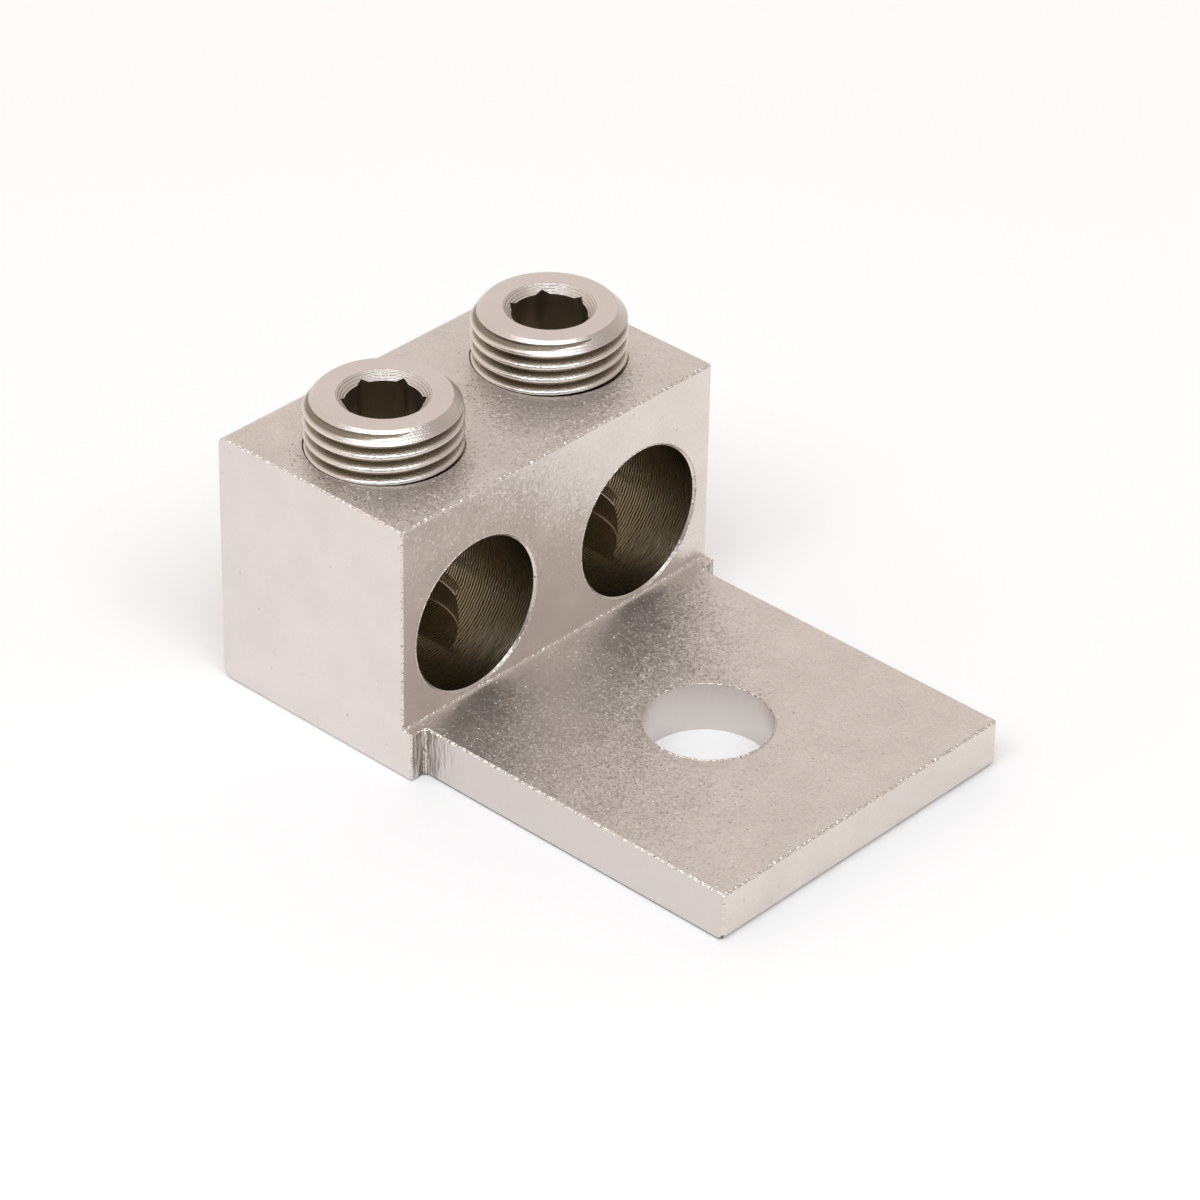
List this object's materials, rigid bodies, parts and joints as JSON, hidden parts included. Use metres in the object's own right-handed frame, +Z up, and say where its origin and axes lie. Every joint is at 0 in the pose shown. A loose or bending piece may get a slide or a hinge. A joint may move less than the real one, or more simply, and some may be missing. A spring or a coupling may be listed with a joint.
{
  "type": "mechanical lug",
  "caption": "Side-by-side mechanical lug: a block with through bores for stranded wire, a hex-socket set screw over each, and a flat tongue with a stud hole.",
  "frame": {"origin": "centre of the stud hole in the flat underside, which is the contact face", "axes": "+Z up from the contact face towards the set screws, +Y from the tongue's tip towards the block, +X along the row of wire bores"},
  "size_m": [0.0478, 0.0713, 0.037],
  "materials": {
    "tin_plated_body": "matte tin plate",
    "tin_plated_screws": "bright tin plate"
  },
  "bodies": {
    "lug": {"lug_body": "tin_plated_body"},
    "left_screw": {"left_set_screw": "tin_plated_screws"},
    "right_screw": {"right_set_screw": "tin_plated_screws"}
  },
  "joints": [
    {"name": "left_screw_travel", "type": "slide", "parent": "lug", "child": "left_screw", "axis": [0, 0, 1], "range_m": [-0.01429, 0.00317]},
    {"name": "right_screw_travel", "type": "slide", "parent": "lug", "child": "right_screw", "axis": [0, 0, 1], "range_m": [-0.01429, 0.00317]}
  ]
}
